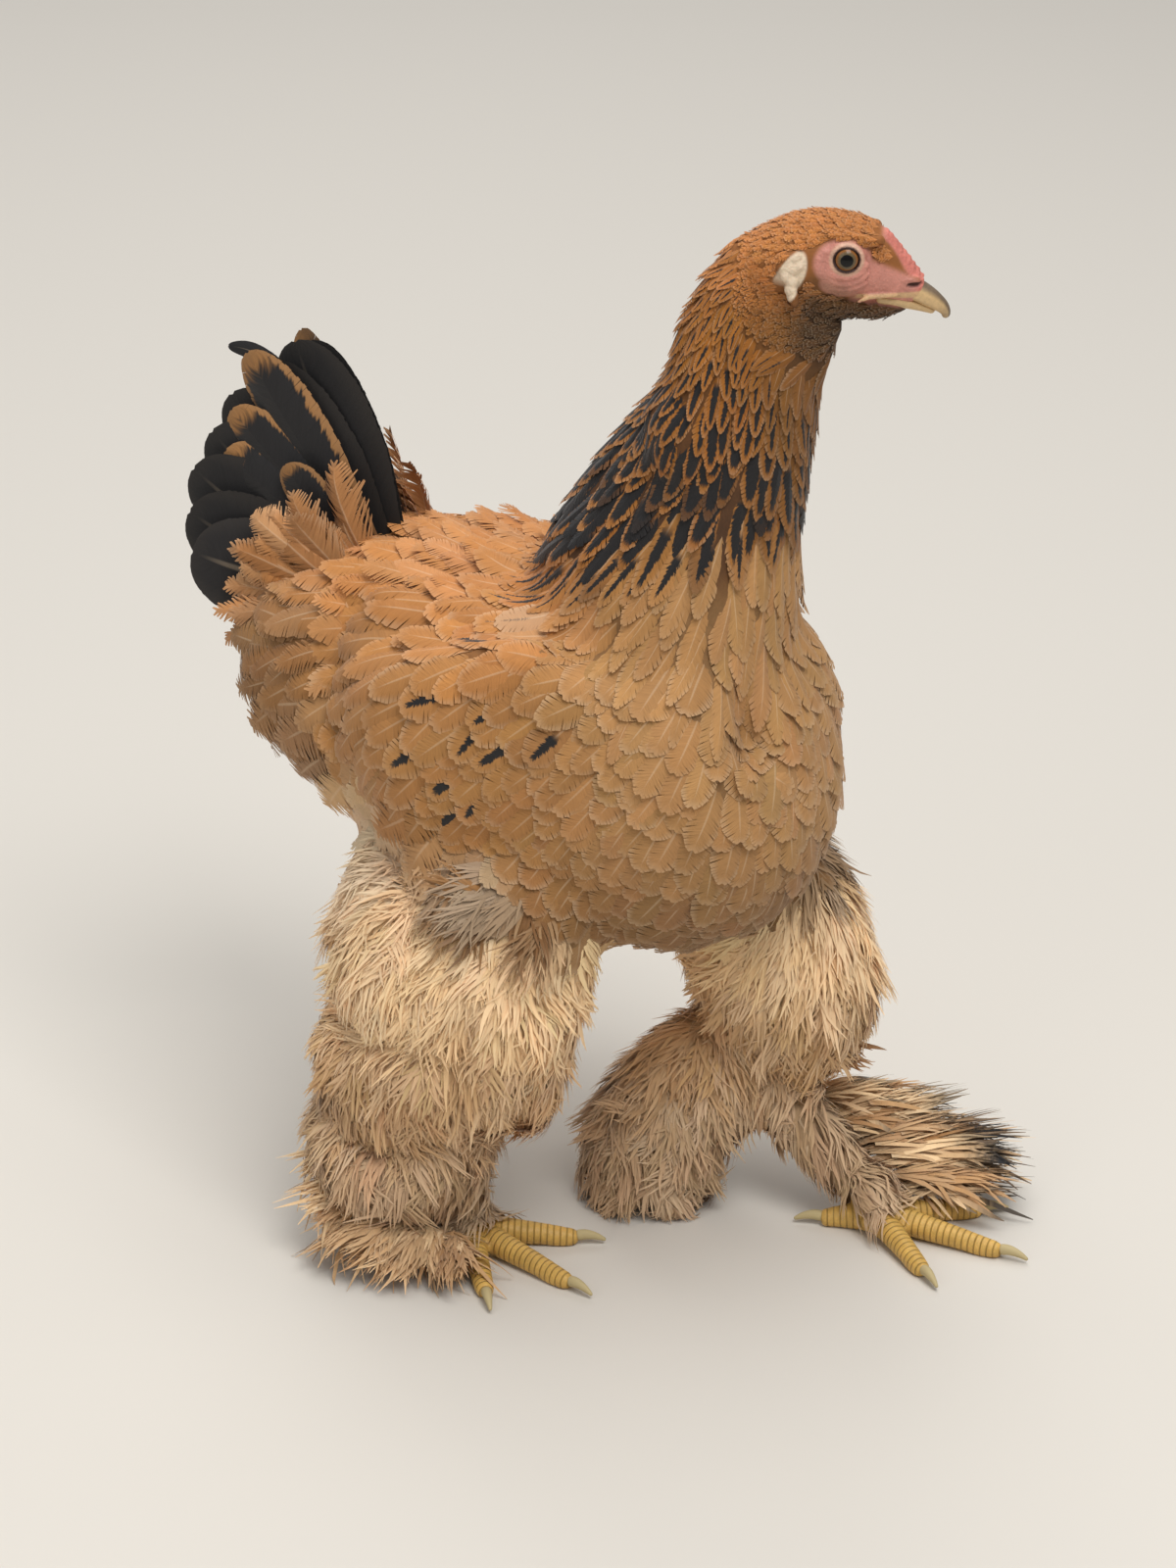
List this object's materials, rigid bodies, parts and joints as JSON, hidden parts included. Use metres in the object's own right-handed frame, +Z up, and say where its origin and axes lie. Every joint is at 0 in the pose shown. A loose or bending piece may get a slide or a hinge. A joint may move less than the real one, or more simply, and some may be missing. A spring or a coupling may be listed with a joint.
{
  "type": "brahma chicken model",
  "caption": "Life-size still model of a buff Brahma hen in mid-step, head turned, with feathered legs and feet spread on the floor.",
  "frame": {"origin": "middle of the hen's bounding box, at floor level", "axes": "-Y is the way the hen faces, +X is its left side and +Z is up from the floor"},
  "size_m": [0.292, 0.4306, 0.5342],
  "materials": {
    "buff_feathers": "matt, close-lying feathers",
    "hackle_feathers": "satin, long narrow feathers",
    "black_feathers": "satin, stiff feathers",
    "leg_fluff": "matt, loose soft feathers",
    "face_skin": "dull, finely wrinkled",
    "lobe_skin": "dull, wrinkled",
    "horn": "satin horn",
    "toe_scales": "scaled, satin",
    "eye": "wet gloss"
  },
  "bodies": {
    "root": {"trunk": "buff_feathers", "neck": "hackle_feathers", "head": "face_skin", "comb": "face_skin", "beak_upper": "horn", "beak_lower": "horn", "eye_left": "eye", "eye_right": "eye", "earlobe_left": "lobe_skin", "earlobe_right": "lobe_skin", "wattle_left": "face_skin", "wattle_right": "face_skin", "wing_left": "buff_feathers", "wing_right": "buff_feathers", "tail": "black_feathers", "tail_coverts_left": "buff_feathers", "tail_coverts_right": "buff_feathers", "thigh_left": "leg_fluff", "thigh_right": "leg_fluff", "hock_fluff_left": "leg_fluff", "hock_fluff_right": "leg_fluff", "shank_left": "leg_fluff", "shank_right": "leg_fluff", "plumes_left": "leg_fluff", "plumes_right": "leg_fluff", "toe_left_inner": "toe_scales", "toe_left_middle": "toe_scales", "toe_left_outer": "toe_scales", "toe_left_hind": "toe_scales", "toe_right_inner": "toe_scales", "toe_right_middle": "toe_scales", "toe_right_outer": "toe_scales", "toe_right_hind": "toe_scales", "claw_left_inner": "horn", "claw_left_middle": "horn", "claw_left_outer": "horn", "claw_left_hind": "horn", "claw_right_inner": "horn", "claw_right_middle": "horn", "claw_right_outer": "horn", "claw_right_hind": "horn"}
  },
  "joints": []
}
